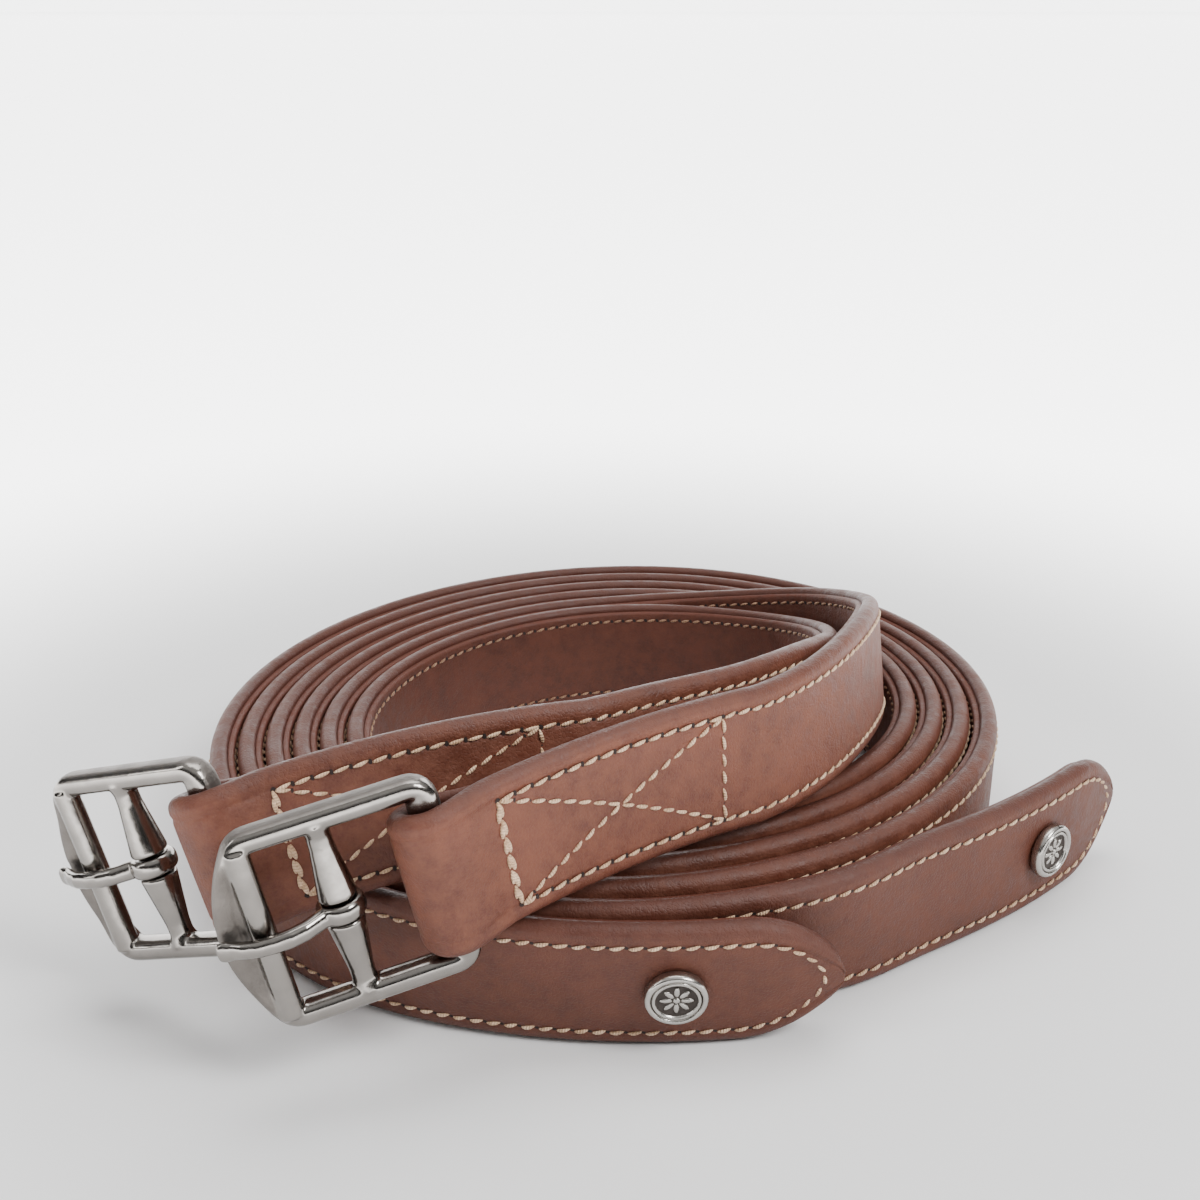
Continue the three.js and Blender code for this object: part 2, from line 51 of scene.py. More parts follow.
# ------------------------------------------------------------------ the coil, as in the frame
COIL_CENTRE = np.array([-3.03, 10.12, 0.0])
STRAP_WIDTH = 25.0
MID = STRAP_WIDTH / 2
THICKNESS = 4.8
FACE_DEPTH = 3.4
GAP = 0.25
TIP_LENGTH = 17.0
BOX_LENGTH = 42.0
BOX_START = 10.0
BOX_HALF = 9.25
FLAT_LENGTH = 60.0
RETURN_END = 57.5
BAR_RADIUS = 2.25
BAR_CLEARANCE = 0.35
FOLD_BULGE = 1.6
RETURN_TRIM = 1.3
RETURN_SKIVE = 0.42
HOLE_FIRST = 190.0
HOLE_PITCH = 25.0
HOLE_COUNT = 10
HOLE_RADIUS = 2.1
STUD_FROM_TIP = 28.0
STUD_RADIUS = 5.25
BURR_HOLE = 4.25
SPIRAL_BASE = 86.4
SPIRAL_TURN = 10.7
SPIRAL_START = 303
SPIRAL_STEP = 15
SPIRAL_END = 213 + 720
SPRING_ANGLE = 294
SPRING_WIDTH = 3.6
SPRING_TURNS = 1.5
FRONT_LEAN = -8.5
LEAN_FADES = (215, 265, 288, 312)
FOLD_RADIUS = BAR_RADIUS + BAR_CLEARANCE + FACE_DEPTH

LEATHERS = {
    "a": {
        "behind": 0,
        "tip": [(37.2, -77.7, 12.72, -8.5), (25.4, -80, 12.72, -8.5), (12.7, -81.4, 12.72, -8.5)],
        "spiral_from": 45,
        "rise": [
            (29, 49, 16.3, -7), (47.1, 34.9, 22.4, -4), (54.5, 15.2, 29, 3),
            (52, -7.4, 35.6, 8), (43.3, -29.5, 38.5, 8),
        ],
        "flat": {"bar": (-25.9, -87.7, 36.4), "heading": -145.2, "slope": -10.3, "lean": 7, "bend": 14.5},
        "frame_turn": -19,
    },
    "b": {
        "behind": 0.5,
        "tip": [
            (99, -18, MID, 0), (91, -27.6, MID, 0), (82, -36.4, MID, 0),
            (72.3, -44.2, MID, 0), (62.2, -51.2, MID, 0), (52, -57.8, MID, 0),
        ],
        "spiral_from": 0,
        "rise": [
            (23, 44.3, 13.9, -7), (38, 30.6, 17.5, -7), (44.7, 11.5, 23.5, -2),
            (43.6, -9.4, 30.2, 6), (35, -28.4, 36.1, 9), (21.4, -44.4, 38.9, 10),
            (5.3, -55.6, 40.2, 11.5),
        ],
        "flat": {"bar": (-61.5, -79.4, 34.2), "heading": -161.5, "slope": -13.6, "lean": 11.5, "bend": 15},
        "frame_turn": -39.5,
    },
}

# ------------------------------------------------------------------ camera
LENS = 44.16
CAMERA_FROM_COIL = np.array([-2.61, -280.34, 159.36])
CAMERA_PITCH = 21.9


def add_camera():
    data = bpy.data.cameras.new("camera")
    data.lens = LENS
    data.sensor_width = 36.0
    data.clip_start = 0.01
    camera = bpy.data.objects.new("camera", data)
    bpy.context.scene.collection.objects.link(camera)
    camera.location = (CAMERA_FROM_COIL + COIL_CENTRE) * MM
    camera.rotation_euler = (math.radians(90 - CAMERA_PITCH), 0, 0)
    bpy.context.scene.camera = camera


# ------------------------------------------------------------------ routes
def smoothstep(x, low, high):
    q = np.clip((np.asarray(x, float) - low) / (high - low), 0, 1)
    return q * q * (3 - 2 * q)


def front_lean(polar):
    start, full, fading, end = LEAN_FADES
    return FRONT_LEAN * float(smoothstep(polar, start, full) * (1 - smoothstep(polar, fading, end)))


def spiral_point(degrees, behind):
    angle = math.radians(SPIRAL_START - degrees)
    turns = degrees / 360 + behind
    near_spring = max(0.0, math.cos(angle - math.radians(SPRING_ANGLE))) ** 3
    sprung = SPRING_TURNS * math.tanh(max(0.0, turns - 0.5) / SPRING_TURNS)
    outer = (SPIRAL_BASE - SPIRAL_TURN * turns - SPRING_WIDTH * near_spring * sprung
             + 2.6 * math.cos(angle) - 0.4 * math.sin(angle)
             + 0.5 * math.cos(2 * angle) + 2.65 * math.sin(2 * angle))
    lean = front_lean((SPIRAL_START - degrees) % 360)
    tilt = math.radians(abs(lean))
    r = outer - THICKNESS / 2 - MID * math.sin(tilt)
    z = MID * math.cos(tilt) + THICKNESS / 2 * math.sin(tilt)
    return (r * math.cos(angle), r * math.sin(angle), z, lean)


class Spline:
    """Natural cubic spline through points, over their chord length."""

    def __init__(self, points):
        self.points = np.array(points, float)
        steps = np.linalg.norm(np.diff(self.points[:, :3], axis=0), axis=1)
        self.knots = np.concatenate([[0], np.cumsum(steps)])
        n = len(points)
        matrix = np.eye(n)
        right = np.zeros_like(self.points)
        for i in range(1, n - 1):
            before, after = steps[i - 1], steps[i]
            matrix[i, i - 1:i + 2] = before, 2 * (before + after), after
            rise = (self.points[i + 1] - self.points[i]) / after
            fall = (self.points[i] - self.points[i - 1]) / before
            right[i] = 6 * (rise - fall)
        self.second = np.linalg.solve(matrix, right)

    def at(self, u):
        u = np.asarray(u, float)
        i = np.clip(np.searchsorted(self.knots, u, side="right") - 1, 0, len(self.knots) - 2)
        h = self.knots[i + 1] - self.knots[i]
        b = ((u - self.knots[i]) / h)[:, None]
        a = 1 - b
        h = h[:, None]
        curve = (a ** 3 - a) * self.second[i] + (b ** 3 - b) * self.second[i + 1]
        return a * self.points[i] + b * self.points[i + 1] + curve * h * h / 6


def unit(v):
    return v / np.linalg.norm(v, axis=-1, keepdims=True)


def axes_of(travel, lean):
    """Travel, width and inward axes for rows of directions and leans in degrees."""
    t = unit(travel)
    up = unit(np.array([0, 0, 1.0]) - t * t[:, 2:3])
    side = np.cross(t, up)
    lean = np.radians(lean)[:, None]
    w = up * np.cos(lean) + side * np.sin(lean)
    return t, w, np.cross(t, w)


class Strap:
    """One leather's centre line, from the tip to the rear bar, and its fold."""

    def __init__(self, plan):
        flat = plan["flat"]
        heading, slope = math.radians(flat["heading"]), math.radians(flat["slope"])
        travel = np.array([[math.cos(slope) * math.cos(heading), math.cos(slope) * math.sin(heading),
                            math.sin(slope)]])
        t, w, m = axes_of(travel, np.array([flat["lean"]], float))
        self.bar, self.t, self.w, self.m = np.array(flat["bar"], float), t[0], w[0], m[0]
        self.bend = math.radians(flat["bend"]) / FLAT_LENGTH
        points = list(plan["tip"])
        turn = plan["spiral_from"]
        while turn <= SPIRAL_END:
            points.append(spiral_point(turn, plan["behind"]))
            turn += SPIRAL_STEP
        points += plan["rise"]
        first = len(points)
        for part in (1, 2 / 3, 1 / 3, 0):
            c = self.flat_axes(np.array([-FLAT_LENGTH * part]))[0][0]
            points.append((*c, flat["lean"]))
        self.spline = Spline(points)
        self.flat_start = self.spline.knots[first]
        self.frame_turn = math.radians(plan["frame_turn"])

    def flat_axes(self, u):
        """Centre and axes of the flat stretch at u, along the strap from the bar."""
        angle = np.minimum(0, u)[:, None] * self.bend
        c = (self.bar + self.t * (np.sin(angle) / self.bend + np.maximum(0, u)[:, None])
             + self.w * (np.cos(angle) - 1) / self.bend)
        t = self.t * np.cos(angle) - self.w * np.sin(angle)
        w = self.w * np.cos(angle) + self.t * np.sin(angle)
        return c, t, w, np.broadcast_to(self.m, c.shape)

    def axes(self, s):
        """Centre and axes at distances from the tip, the flat stretch included."""
        s = np.asarray(s, float)
        row = self.spline.at(s)
        step = 0.2
        travel = self.spline.at(s + step)[:, :3] - self.spline.at(s - step)[:, :3]
        t, w, m = axes_of(travel, row[:, 3])
        c = row[:, :3].copy()
        on_flat = s >= self.flat_start
        if on_flat.any():
            u = s[on_flat] - self.flat_start - FLAT_LENGTH
            c[on_flat], t[on_flat], w[on_flat], m[on_flat] = self.flat_axes(u)
        return c, t, w, m

    def point(self, s, across, depth):
        """A place on or in the strap: across its width and inwards from its outer face."""
        c, _, w, m = self.axes(s)
        across, depth = np.asarray(across)[:, None], np.asarray(depth)[:, None]
        return c + w * across + m * (depth - THICKNESS / 2)

    def fold_axes(self, path):
        """Stations along a path of (u, n) in the flat stretch's own plane."""
        path = np.array(path, float)
        c, t, w, m = self.flat_axes(path[:, 0])
        ahead = np.vstack([path[1:], path[-1:]])
        behind = np.vstack([path[:1], path[:-1]])
        du, dn = (ahead - behind).T
        travel = unit(t * du[:, None] + m * dn[:, None])
        inward = np.cross(travel, w)
        face = c + m * (path[:, 1:2] - THICKNESS / 2)
        return face + inward * THICKNESS / 2, travel, w, inward


def half_width(s):
    q = np.clip(np.asarray(s, float) / TIP_LENGTH, 0, 1)
    return MID * (1 - (1 - q) ** 1.9) ** 0.62


def swell(u):
    return smoothstep(u, -10, -1)


def fold_path():
    behind = 2 * FACE_DEPTH + GAP
    far = 2 * FOLD_RADIUS - FOLD_BULGE
    path = [(u, -FOLD_BULGE * float(swell(u))) for u in np.arange(-FLAT_LENGTH + 1, -0.4, 1.0)]
    for angle in np.linspace(0, math.pi, 25):
        path.append((FOLD_RADIUS * math.sin(angle), FOLD_RADIUS - FOLD_BULGE - FOLD_RADIUS * math.cos(angle)))
    back = [-u for u in np.arange(1.0, RETURN_END, 1.0)] + [-RETURN_END]
    path += [(u, behind + (far - behind) * float(swell(u))) for u in back]
    return path


def fold_shape(path):
    """How much narrower, and how thick, the strap is along the fold: its end is trimmed and skived."""
    middle = int(np.argmax([u for u, _ in path]))
    after = np.arange(len(path)) - middle
    back = np.array([u for u, _ in path])
    trim = RETURN_TRIM * smoothstep(after, -6, 12)
    thick = np.where(after > 0, 1 - (1 - RETURN_SKIVE) * smoothstep(-back, 0, 14), 1.0)
    return trim, thick


# ------------------------------------------------------------------ meshes
def mesh_object(name, vertices, faces, materials, uvs=None):
    mesh = bpy.data.meshes.new(name)
    mesh.from_pydata((np.asarray(vertices) * MM).tolist(), [], faces)
    for item in materials:
        mesh.materials.append(item)
    if uvs is not None:
        layer = mesh.uv_layers.new(name="strap")
        index = np.zeros(len(mesh.loops), np.int32)
        mesh.loops.foreach_get("vertex_index", index)
        layer.data.foreach_set("uv", np.asarray(uvs, np.float32)[index].ravel())
    mesh.validate()
    mesh.polygons.foreach_set("use_smooth", [True] * len(mesh.polygons))
    thing = bpy.data.objects.new(name, mesh)
    bpy.context.scene.collection.objects.link(thing)
    return thing


def placed(vertices):
    return np.asarray(vertices) + COIL_CENTRE


def loft(name, stations, outline, lengths, halves, materials, thick=None):
    """A closed strip. outline(h) gives rows of (across, depth, v); v is the painting coordinate."""
    c, _, w, m = stations
    rings, uvs = [], []
    for i in range(len(c)):
        rows = outline(halves[i])
        if thick is not None:
            back = rows[:, 1].max()
            rows[:, 1] = back - (back - rows[:, 1]) * thick[i]
        rings.append(c[i] + w[i] * rows[:, 0:1] + m[i] * (rows[:, 1:2] - THICKNESS / 2))
        uvs.append(np.stack([np.full(len(rows), lengths[i] / 100), rows[:, 2]], 1))
    count = len(rings[0])
    vertices, uvs = np.vstack(rings), np.vstack(uvs)
    faces = []
    for i in range(len(rings) - 1):
        base, nxt = i * count, (i + 1) * count
        for k in range(count):
            j = (k + 1) % count
            faces.append((base + k, nxt + k, nxt + j, base + j))
    last = (len(rings) - 1) * count
    faces.append(tuple(range(count)))
    faces.append(tuple(last + k for k in reversed(range(count))))
    thing = mesh_object(name, placed(vertices), faces, materials, uvs)
    fix_normals(thing)
    return thing


def fix_normals(thing):
    work = bmesh.new()
    work.from_mesh(thing.data)
    bmesh.ops.recalc_face_normals(work, faces=work.faces)
    work.to_mesh(thing.data)
    work.free()


STITCH_INSET = 3.2
GROOVE = 0.22
EDGE_ROUND = 2.1
BACK_ROUND = 1.15
LINING_INSET = 1.2


def face_outline(h):
    """Face leather: a padded, grooved face, turned edges rounded like a cord and a flat back."""
    inset = min(STITCH_INSET, 0.45 * h)
    row = h - inset
    edge = min(EDGE_ROUND, 0.6 * inset)
    face = []
    for y in (0, 0.35 * row, 0.7 * row, row - 0.32 * inset, row - 0.2 * inset, row - 0.09 * inset, row,
              row + 0.09 * inset, row + 0.2 * inset, row + 0.32 * inset):
        groove = GROOVE * math.exp(-((y - row) / (0.14 * inset + 0.02)) ** 2)
        face.append((y, 0.06 * (y / h) ** 2 + groove, min(1.0, y / h)))
    for k in range(1, 7):
        angle = math.radians(15 * k)
        face.append((h - edge + edge * math.sin(angle), 0.08 + edge * (1 - math.cos(angle)), 1 + 0.02 * k))
    back = FACE_DEPTH + 0.12
    turn = min(BACK_ROUND, edge)
    for k in range(5):
        angle = math.radians(22.5 * k)
        face.append((h - turn + turn * math.cos(angle), back - turn + turn * math.sin(angle), 1.2 + 0.04 * k))
    rows = [(-y, d, -v) for y, d, v in reversed(face[1:])] + face
    return np.array(rows)


def lining_outline(h):
    """Lining leather: thin, with cut edges just inside the turned ones."""
    inset = min(STITCH_INSET, 0.45 * h)
    row = h - inset
    h = max(0.5 * h, h - LINING_INSET)
    row = min(row, h - 0.1)
    top, bottom = FACE_DEPTH + 0.14, THICKNESS
    face = []
    for y in (0, 0.5 * row, row - 0.28 * inset, row - 0.12 * inset, row):
        groove = 0.14 * math.exp(-((y - row) / (0.14 * inset + 0.02)) ** 2)
        face.append((y, bottom - groove, min(0.9, y / h)))
    reach = h - row
    face += [(row + 0.3 * reach, bottom - 0.06, 0.92), (h - 0.3 * reach, bottom, 0.95),
             (h - 0.06, bottom - 0.25, 1.1), (h, top + 0.25, 1.2), (h - 0.05, top, 1.3)]
    rows = [(-y, d, -v) for y, d, v in reversed(face[1:])] + face
    return np.array(rows)


# ------------------------------------------------------------------ materials
def new_material(name):
    material = bpy.data.materials.new(name)
    material.use_nodes = True
    tree = material.node_tree
    shader = tree.nodes["Principled BSDF"]
    return material, tree, shader


def node(tree, kind, **settings):
    item = tree.nodes.new(kind)
    for key, value in settings.items():
        setattr(item, key, value)
    return item


def noise(tree, coordinates, scale, detail=3.0, roughness=0.55):
    item = node(tree, "ShaderNodeTexNoise")
    item.inputs["Scale"].default_value = scale
    item.inputs["Detail"].default_value = detail
    item.inputs["Roughness"].default_value = roughness
    tree.links.new(coordinates, item.inputs["Vector"])
    return item.outputs["Fac"]


def ramp(tree, value, low, high, to_low=0.0, to_high=1.0):
    item = node(tree, "ShaderNodeMapRange", clamp=True, interpolation_type="SMOOTHSTEP")
    for key, number in (("From Min", low), ("From Max", high), ("To Min", to_low), ("To Max", to_high)):
        item.inputs[key].default_value = number
    tree.links.new(value, item.inputs["Value"])
    return item.outputs["Result"]


def mix(tree, factor, first, second):
    item = node(tree, "ShaderNodeMix", data_type="RGBA")
    for socket, value in ((item.inputs[0], factor), (item.inputs[6], first), (item.inputs[7], second)):
        if isinstance(value, (tuple, float, int)):
            socket.default_value = value if isinstance(value, (float, int)) else (*value, 1.0)
        else:
            tree.links.new(value, socket)
    return item.outputs[2]


def maths(tree, operation, first, second=None):
    item = node(tree, "ShaderNodeMath", operation=operation)
    for socket, value in zip(item.inputs, (first, second)):
        if value is None:
            continue
        if isinstance(value, (float, int)):
            socket.default_value = value
        else:
            tree.links.new(value, socket)
    return item.outputs[0]


def bump(tree, shader, heights):
    """Stacks bumps, each a (height, distance in metres) pair, into the shader's normal."""
    normal = None
    for height, distance in heights:
        item = node(tree, "ShaderNodeBump")
        item.inputs["Strength"].default_value = 1.0
        item.inputs["Distance"].default_value = distance
        tree.links.new(height, item.inputs["Height"])
        if normal is not None:
            tree.links.new(normal, item.inputs["Normal"])
        normal = item.outputs["Normal"]
    tree.links.new(normal, shader.inputs["Normal"])


# The colour darkens towards the tip end: fully up to the first distance along the strap, not at all
# from the second, in decimetres, going from the third value's share of the edge colour to the fourth's.
TIP_DARKENING = (0.6, 2.2, 0.4, 0.0)


def leather(name, base, dark, light, edge_dark, roughness=0.52):
    """Aniline leather: mottled dye, fine grain, darker burnished edges and a darker tip end."""
    material, tree, shader = new_material(name)
    where = node(tree, "ShaderNodeTexCoord")
    spot = where.outputs["Object"]
    uv = node(tree, "ShaderNodeUVMap", uv_map="strap")
    split = node(tree, "ShaderNodeSeparateXYZ")
    tree.links.new(uv.outputs["UV"], split.inputs[0])
    across = maths(tree, "ABSOLUTE", split.outputs["Y"])

    blotch = ramp(tree, noise(tree, spot, 70, 4.0, 0.6), 0.3, 0.74)
    cloud = ramp(tree, noise(tree, spot, 330, 3.0, 0.6), 0.3, 0.72)
    fine = ramp(tree, noise(tree, spot, 1900, 2.0, 0.6), 0.3, 0.75)
    colour = mix(tree, blotch, dark, base)
    colour = mix(tree, maths(tree, "MULTIPLY", cloud, 0.55), colour, light)
    colour = mix(tree, maths(tree, "MULTIPLY", fine, 0.3), colour, light)
    colour = mix(tree, ramp(tree, across, 0.9, 1.2, 0.0, 0.75), colour, edge_dark)
    colour = mix(tree, ramp(tree, split.outputs["X"], *TIP_DARKENING), colour, edge_dark)
    tree.links.new(colour, shader.inputs["Base Color"])

    pores = node(tree, "ShaderNodeTexVoronoi", feature="DISTANCE_TO_EDGE")
    pores.inputs["Scale"].default_value = 1500
    tree.links.new(spot, pores.inputs["Vector"])
    grain = ramp(tree, pores.outputs["Distance"], 0.0, 0.22)
    rough = maths(tree, "ADD", ramp(tree, cloud, 0.0, 1.0, roughness - 0.06, roughness + 0.07),
                  ramp(tree, fine, 0.0, 1.0, 0.0, 0.06))
    tree.links.new(rough, shader.inputs["Roughness"])
    shader.inputs["Specular IOR Level"].default_value = 0.34
    bump(tree, shader, [
        (noise(tree, spot, 160, 3.0, 0.5), 0.00035),
        (noise(tree, spot, 900, 3.0, 0.6), 0.00012),
        (grain, 0.00003),
    ])
    return material


def thread(name, dark, light):
    """Waxed linen thread with a fine twist."""
    material, tree, shader = new_material(name)
    where = node(tree, "ShaderNodeTexCoord")
    uv = node(tree, "ShaderNodeUVMap", uv_map="strap")
    split = node(tree, "ShaderNodeSeparateXYZ")
    tree.links.new(uv.outputs["UV"], split.inputs[0])
    twist = maths(tree, "ADD", maths(tree, "MULTIPLY", split.outputs["X"], 26.0),
                  maths(tree, "MULTIPLY", split.outputs["Y"], 6.283))
    wave = maths(tree, "SINE", twist)
    shade = ramp(tree, noise(tree, where.outputs["Object"], 500, 2.0), 0.3, 0.7)
    colour = mix(tree, shade, dark, light)
    # The twist's troughs are darkened: painted shade between the plies.
    colour = mix(tree, ramp(tree, wave, -1.0, 0.0, 0.45, 0.0), colour, tuple(0.5 * c for c in dark))
    tree.links.new(colour, shader.inputs["Base Color"])
    shader.inputs["Roughness"].default_value = 0.62
    shader.inputs["Sheen Weight"].default_value = 0.15
    bump(tree, shader, [(wave, 0.00006)])
    return material


def plain(name, colour, roughness, metallic=0.0):
    material, _, shader = new_material(name)
    shader.inputs["Base Color"].default_value = (*colour, 1.0)
    shader.inputs["Roughness"].default_value = roughness
    shader.inputs["Metallic"].default_value = metallic
    return material


def steel(name, polished, satin, rough_polished, rough_satin):
    """Cast stainless steel: buffed bright, or left satin where the "satin" attribute says so."""
    material, tree, shader = new_material(name)
    spot = node(tree, "ShaderNodeTexCoord").outputs["Object"]
    mask = node(tree, "ShaderNodeAttribute", attribute_name="satin").outputs["Fac"]
    shader.inputs["Metallic"].default_value = 1.0
    cloud = ramp(tree, noise(tree, spot, 260, 3.0, 0.6), 0.3, 0.7)
    fine = ramp(tree, noise(tree, spot, 2600, 2.0, 0.6), 0.3, 0.8)
    bright = mix(tree, cloud, polished, tuple(0.88 * c for c in polished))
    dull = mix(tree, cloud, satin, tuple(0.86 * c for c in satin))
    tree.links.new(mix(tree, mask, bright, dull), shader.inputs["Base Color"])
    rough = ramp(tree, mask, 0.0, 1.0, rough_polished, rough_satin)
    rough = maths(tree, "ADD", rough, maths(tree, "MULTIPLY", cloud, 0.06))
    tree.links.new(maths(tree, "ADD", rough, maths(tree, "MULTIPLY", fine, 0.04)), shader.inputs["Roughness"])
    pits = maths(tree, "MULTIPLY", fine, maths(tree, "ADD", mask, 0.08))
    bump(tree, shader, [(noise(tree, spot, 140, 2.0, 0.4), 0.00022), (pits, 0.000025)])
    return material


FACE_LEATHER = leather("bridle_leather", (0.13, 0.038, 0.021), (0.08, 0.022, 0.012), (0.19, 0.07, 0.041),
                       (0.055, 0.016, 0.01))
# The lining's colours are the face leather's, darkened: painted shade of the coil's insides, where the lining
# shows.
SHADED_LINING_LEATHER = leather("lining_leather", (0.085, 0.024, 0.013), (0.055, 0.015, 0.008), (0.12, 0.038, 0.022),
                         (0.09, 0.024, 0.013), 0.58)
THREAD = thread("waxed_thread", (0.55, 0.34, 0.195), (0.8, 0.56, 0.37))
# A darker copy of the waxed thread for the rows on the lining side: painted shade.
SHADED_THREAD = thread("shaded_thread", (0.26, 0.13, 0.07), (0.4, 0.23, 0.13))
# Near-black for the awl holes: painted shade inside the holes.
HOLE_SHADE = plain("painted_hole_shade", (0.018, 0.008, 0.006), 0.85)
BUCKLE_STEEL = steel("buckle_steel", (0.27, 0.251, 0.232), (0.17, 0.153, 0.139), 0.15, 0.44)
STUD_STEEL = steel("stud_steel", (0.46, 0.44, 0.41), (0.33, 0.3, 0.275), 0.2, 0.4)
# Near-black steel for the stud's groove and low middle: painted shade in its recesses.
STUD_RECESS_SHADE = plain("stud_recess_shade", (0.05, 0.04, 0.035), 0.55, 0.6)


# ------------------------------------------------------------------ straps
DRILL_REACH = 12.0


def strap_stations(strap):
    """Dense stations from the tip to the start of the flat stretch."""
    near = np.concatenate([[0.25, 0.6, 1.0, 1.5], np.arange(2.0, TIP_LENGTH, 0.75)])
    along = np.concatenate([near, np.arange(TIP_LENGTH, strap.flat_start, 1.1)])
    return along, strap.axes(along)


def drilled(thing, places, radius, strap):
    """Cuts round holes through thing at distances from the tip."""
    work = bmesh.new()
    for s in places:
        c, t, w, m = (x[0] for x in strap.axes(np.array([s])))
        matrix = Matrix((Vector(t), Vector(w), Vector(m))).transposed().to_4x4()
        matrix.translation = Vector((c + COIL_CENTRE) * MM)
        bmesh.ops.create_cone(work, cap_ends=True, segments=32, radius1=radius * MM, radius2=radius * MM,
                              depth=DRILL_REACH * MM, matrix=matrix)
    mesh = bpy.data.meshes.new("cutter")
    bmesh.ops.recalc_face_normals(work, faces=work.faces)
    work.to_mesh(mesh)
    work.free()
    cutter = bpy.data.objects.new("cutter", mesh)
    bpy.context.scene.collection.objects.link(cutter)
    modifier = thing.modifiers.new("holes", "BOOLEAN")
    modifier.operation = "DIFFERENCE"
    modifier.object = cutter
    modifier.solver = "EXACT"
    bake_modifiers(thing)
    bpy.data.objects.remove(cutter)


def bake_modifiers(thing):
    bpy.context.view_layer.update()
    graph = bpy.context.evaluated_depsgraph_get()
    mesh = bpy.data.meshes.new_from_object(thing.evaluated_get(graph))
    thing.modifiers.clear()
    old = thing.data
    thing.data = mesh
    bpy.data.meshes.remove(old)


def add_strap(ident, strap):
    along, body = strap_stations(strap)
    path = fold_path()
    fold = strap.fold_axes(path)
    trim, fold_thick = fold_shape(path)
    fold_length = strap.flat_start + np.arange(len(fold[0]))
    stations = [np.vstack([a, b]) for a, b in zip(body, fold)]
    lengths = np.concatenate([along, fold_length])
    halves = np.concatenate([half_width(along), MID - trim])
    thick = np.concatenate([np.ones(len(along)), fold_thick])
    face = loft(f"face_leather_{ident}", stations, face_outline, lengths, halves, [FACE_LEATHER], thick)
    lining = loft(f"lining_leather_{ident}", body, lining_outline, along, half_width(along), [SHADED_LINING_LEATHER])
    punched = [HOLE_FIRST + HOLE_PITCH * i for i in range(HOLE_COUNT)]
    drilled(face, punched, HOLE_RADIUS, strap)
    drilled(lining, punched, HOLE_RADIUS, strap)
    drilled(lining, [STUD_FROM_TIP], BURR_HOLE, strap)
    for piece, slot in ((face, "face_leather"), (lining, "lining_leather")):
        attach(piece, "straps")
    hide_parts(f"strap_face_{ident}", f"strap_rise_{ident}", f"strap_core_{ident}")
    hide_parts(f"strap_lining_{ident}")


# ------------------------------------------------------------------ stitching
PITCH = 2.92
STITCH_LENGTH = 2.5
THREAD_RADIUS = 0.33
SLANT = math.radians(13)
AWL_SLIT = (0.34, 0.5)
# The rows on the lining side take the darker thread: painted shade.
INNER_ROW = {"length": 2.0, "radius": 0.3, "rise": 0.1, "in_shade": 1}


